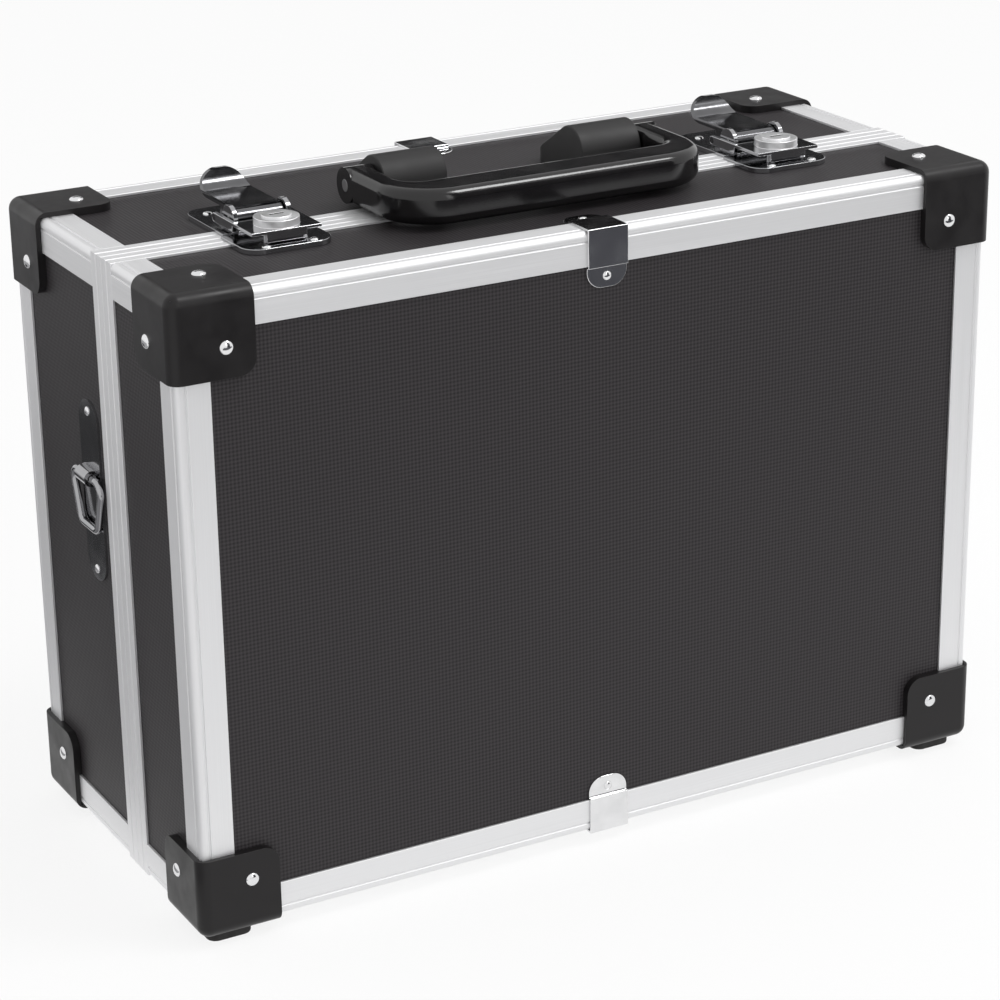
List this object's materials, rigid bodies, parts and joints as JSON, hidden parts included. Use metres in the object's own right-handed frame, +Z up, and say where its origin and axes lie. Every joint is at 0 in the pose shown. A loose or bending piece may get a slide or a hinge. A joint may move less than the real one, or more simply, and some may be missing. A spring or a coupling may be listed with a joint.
{
  "type": "tube tester in a carrying case",
  "caption": "Portable tube tester shut in a dark aluminium-edged carrying case with black corners, toggle latches, folding handle and strap rings; the lid opens on an instrument panel.",
  "frame": {"origin": "on the floor under the middle of the case, at the bottoms of the feet", "axes": "+Z up, X along the width, -Y towards the front of the lid"},
  "size_m": [0.439, 0.1982, 0.331],
  "materials": {
    "panel_laminate": "fine embossed dark laminate over plywood",
    "edge_aluminium": "satin anodised extrusion",
    "corner_black": "semi-gloss black enamel",
    "bright_plate": "bright plated steel",
    "pin_steel": "plain steel",
    "handle_black": "semi-gloss moulded black",
    "foot_rubber": "matt black rubber",
    "rail_wood": "plain softwood strip",
    "deck_grey": "hammered grey enamel",
    "control_black": "moulded black phenolic",
    "dial_white": "printed card white",
    "window_clear": "clear glass",
    "needle_black": "matt black",
    "socket_brown": "moulded brown phenolic",
    "button_red": "moulded red",
    "lamp_red": "clear red lens",
    "core_iron": "varnished lamination stack",
    "winding_paper": "varnished copper coil",
    "board_brown": "phenolic board",
    "foam_grey": "soft grey foam"
  },
  "bodies": {
    "base": {"base_back_panel": "panel_laminate", "base_wall_panels": "panel_laminate", "base_back_edge_profiles": "edge_aluminium", "base_depth_edge_profiles": "edge_aluminium", "base_rim_profiles": "edge_aluminium", "base_corners": "corner_black", "base_feet": "foot_rubber", "base_edge_clips": "bright_plate", "base_rivets": "bright_plate", "handle_brackets": "handle_black", "pivot_pins": "pin_steel", "latch_base_plates": "bright_plate", "strap_plates": "bright_plate", "hinge_base_leaves": "bright_plate", "instrument_panel": "deck_grey", "panel_rails": "rail_wood", "panel_screws": "bright_plate", "meter_case": "control_black", "meter_dial": "dial_white", "meter_window": "window_clear", "octal_socket": "socket_brown", "noval_sockets": "socket_brown", "miniature_sockets": "socket_brown", "mains_inlet": "control_black", "fuse_holder": "control_black", "pilot_lamp": "lamp_red", "selector_switches": "pin_steel", "button_switch": "bright_plate", "rocker_frame": "control_black", "transformer_core": "core_iron", "transformer_windings": "winding_paper", "circuit_board": "board_brown", "board_standoffs": "pin_steel"},
    "lid": {"lid_front_panel": "panel_laminate", "lid_wall_panels": "panel_laminate", "lid_front_edge_profiles": "edge_aluminium", "lid_depth_edge_profiles": "edge_aluminium", "lid_rim_profiles": "edge_aluminium", "lid_corners": "corner_black", "lid_feet": "foot_rubber", "lid_edge_clips": "bright_plate", "lid_rivets": "bright_plate", "latch_strikes": "bright_plate", "hinge_lid_leaves": "bright_plate", "lid_foam": "foam_grey"},
    "handle": {"handle_grip": "handle_black"},
    "lever_left": {"latch_lever_left": "bright_plate"},
    "hook_left": {"latch_hook_left": "bright_plate"},
    "lock_left": {"lock_cylinder_left": "bright_plate"},
    "ring_left": {"strap_ring_left": "bright_plate"},
    "lever_right": {"latch_lever_right": "bright_plate"},
    "hook_right": {"latch_hook_right": "bright_plate"},
    "lock_right": {"lock_cylinder_right": "bright_plate"},
    "ring_right": {"strap_ring_right": "bright_plate"},
    "needle": {"meter_needle": "needle_black"},
    "filament_knob": {"filament_knob": "control_black"},
    "bias_knob": {"bias_knob": "control_black"},
    "function_knob": {"function_knob": "control_black"},
    "button": {"test_button": "button_red"},
    "rocker": {"power_rocker": "control_black"}
  },
  "joints": [
    {"name": "lid_hinge", "type": "hinge", "parent": "base", "child": "lid", "pos_m": [0, -0.0166, 0.0046], "axis": [1, 0, 0], "range_deg": [0, 105]},
    {"name": "handle_fold", "type": "hinge", "parent": "base", "child": "handle", "pos_m": [0, 0.0019, 0.3185], "axis": [-1, 0, 0], "range_deg": [0, 180]},
    {"name": "latch_lever_left", "type": "hinge", "parent": "base", "child": "lever_left", "pos_m": [-0.134, -0.0096, 0.3145], "axis": [1, 0, 0], "range_deg": [0, 110]},
    {"name": "latch_hook_left", "type": "hinge", "parent": "lever_left", "child": "hook_left", "pos_m": [-0.134, 0.0004, 0.3135], "axis": [1, 0, 0], "range_deg": [-121, 0]},
    {"name": "key_lock_left", "type": "hinge", "parent": "hook_left", "child": "lock_left", "pos_m": [-0.134, -0.0306, 0.3175], "axis": [0, 0, 1], "range_deg": [0, 90]},
    {"name": "strap_ring_left", "type": "hinge", "parent": "base", "child": "ring_left", "pos_m": [-0.2156, 0.0126, 0.197], "axis": [0, 1, 0], "range_deg": [0, 180]},
    {"name": "latch_lever_right", "type": "hinge", "parent": "base", "child": "lever_right", "pos_m": [0.134, -0.0096, 0.3145], "axis": [1, 0, 0], "range_deg": [0, 110]},
    {"name": "latch_hook_right", "type": "hinge", "parent": "lever_right", "child": "hook_right", "pos_m": [0.134, 0.0004, 0.3135], "axis": [1, 0, 0], "range_deg": [-121, 0]},
    {"name": "key_lock_right", "type": "hinge", "parent": "hook_right", "child": "lock_right", "pos_m": [0.134, -0.0306, 0.3175], "axis": [0, 0, 1], "range_deg": [0, 90]},
    {"name": "strap_ring_right", "type": "hinge", "parent": "base", "child": "ring_right", "pos_m": [0.2156, 0.0126, 0.197], "axis": [0, -1, 0], "range_deg": [0, 180]},
    {"name": "meter_needle", "type": "hinge", "parent": "base", "child": "needle", "pos_m": [0, -0.0064, 0.108], "axis": [0, 1, 0], "range_deg": [0, 84], "stiffness_Nm_per_rad": 0.0002},
    {"name": "filament_knob_turn", "type": "hinge", "parent": "base", "child": "filament_knob", "pos_m": [-0.11006, -0.0104, 0.165], "axis": [0, 1, 0], "range_deg": [-150, 150]},
    {"name": "bias_knob_turn", "type": "hinge", "parent": "base", "child": "bias_knob", "pos_m": [0, -0.0104, 0.165], "axis": [0, 1, 0], "range_deg": [-150, 150]},
    {"name": "function_knob_turn", "type": "hinge", "parent": "base", "child": "function_knob", "pos_m": [0.11006, -0.0104, 0.165], "axis": [0, 1, 0], "range_deg": [-150, 150]},
    {"name": "test_button_press", "type": "slide", "parent": "base", "child": "button", "axis": [0, 1, 0], "range_m": [0, 0.003], "stiffness_N_per_m": 300},
    {"name": "power_rocker_tip", "type": "hinge", "parent": "base", "child": "rocker", "pos_m": [-0.1581, 0.0001, 0.068], "axis": [1, 0, 0], "range_deg": [0, 14]}
  ],
  "couplings": [
    {"joint": "latch_hook_left", "follows": "latch_lever_left", "ratio": -1.1},
    {"joint": "latch_hook_right", "follows": "latch_lever_right", "ratio": -1.1}
  ]
}
